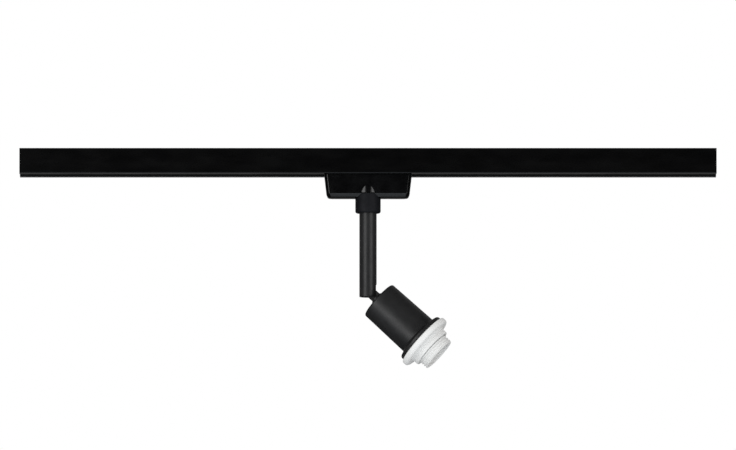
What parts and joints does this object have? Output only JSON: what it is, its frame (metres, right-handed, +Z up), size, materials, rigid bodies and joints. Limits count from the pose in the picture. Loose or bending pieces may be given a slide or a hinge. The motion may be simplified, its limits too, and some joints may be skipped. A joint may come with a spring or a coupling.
{
  "type": "track spotlight",
  "caption": "Ceiling lighting track with a sliding lockable adapter, a swivelling drop tube and a tilting capped lampholder with a screwed shade ring.",
  "frame": {"origin": "centre of the track's ceiling face", "axes": "+X along the track, +Y away from the front, +Z up towards the ceiling"},
  "size_m": [0.5, 0.0429, 0.157],
  "materials": {
    "track_profile": "satin black powder coat",
    "track_insulator": "matte",
    "copper": "polished",
    "housing_plastic": "gloss",
    "black_plastic": "satin",
    "zinc_steel": "satin",
    "nylon": "satin",
    "black_metal": "satin black paint",
    "white_plastic": "satin",
    "brass": "satin",
    "cable_sheath": "matte",
    "brown_core": "satin",
    "blue_core": "satin"
  },
  "bodies": {
    "track": {"rail_profile": "track_profile", "insulator_front": "track_insulator", "insulator_rear": "track_insulator", "conductor_live": "copper", "conductor_neutral": "copper"},
    "adapter": {"adapter_housing": "housing_plastic", "adapter_lid": "black_plastic", "lid_screw_left": "zinc_steel", "lid_screw_right": "zinc_steel", "terminal_block": "nylon", "terminal_screw_live": "zinc_steel", "terminal_screw_neutral": "zinc_steel", "terminal_screw_earth": "zinc_steel", "earth_contact": "copper"},
    "lock": {"lock_rotor": "black_plastic", "lock_lever": "black_plastic", "lever_clip": "zinc_steel", "contact_blade_live": "copper", "contact_blade_neutral": "copper", "blade_lead_live": "brown_core", "blade_lead_neutral": "blue_core"},
    "arm": {"swivel_nipple": "zinc_steel", "swivel_washer": "nylon", "swivel_nut": "zinc_steel", "swivel_collar": "black_plastic", "collar_set_screw": "zinc_steel", "drop_tube": "black_metal", "tube_fork": "zinc_steel", "fork_screw": "zinc_steel", "pivot_pin": "zinc_steel", "friction_washer_front": "nylon", "friction_washer_rear": "nylon", "inner_cable_arm": "cable_sheath"},
    "head": {"knuckle_link": "black_metal", "earth_tag": "brass", "lock_washer": "zinc_steel", "knuckle_nut": "zinc_steel", "lamp_cap": "black_metal", "holder_dome": "white_plastic", "lampholder_body": "white_plastic", "screw_shell": "brass", "centre_contact": "copper", "side_contact": "copper", "holder_terminal_live": "brass", "holder_terminal_neutral": "brass", "holder_screw_live": "zinc_steel", "holder_screw_neutral": "zinc_steel", "inner_cable_head": "cable_sheath", "holder_lead_live": "brown_core", "holder_lead_neutral": "blue_core"},
    "ring": {"shade_ring": "white_plastic"}
  },
  "joints": [
    {"name": "adapter_slide", "type": "slide", "parent": "track", "child": "adapter", "axis": [1, 0, 0], "range_m": [-0.215, 0.215]},
    {"name": "lock_turn", "type": "hinge", "parent": "adapter", "child": "lock", "pos_m": [0, 0, -0.0201], "axis": [0, 0, 1], "range_deg": [0, 90]},
    {"name": "arm_swivel", "type": "hinge", "parent": "adapter", "child": "arm", "pos_m": [0, 0, -0.0311], "axis": [0, 0, 1], "range_deg": [-169, 181]},
    {"name": "head_tilt", "type": "hinge", "parent": "arm", "child": "head", "pos_m": [0, 0, -0.10085], "axis": [-0.1045, -0.9945, 0], "range_deg": [-47.5, 42.5]},
    {"name": "ring_unscrew", "type": "slide", "parent": "head", "child": "ring", "axis": [0.7332, -0.0771, -0.6756], "range_m": [0, 0.017]}
  ]
}
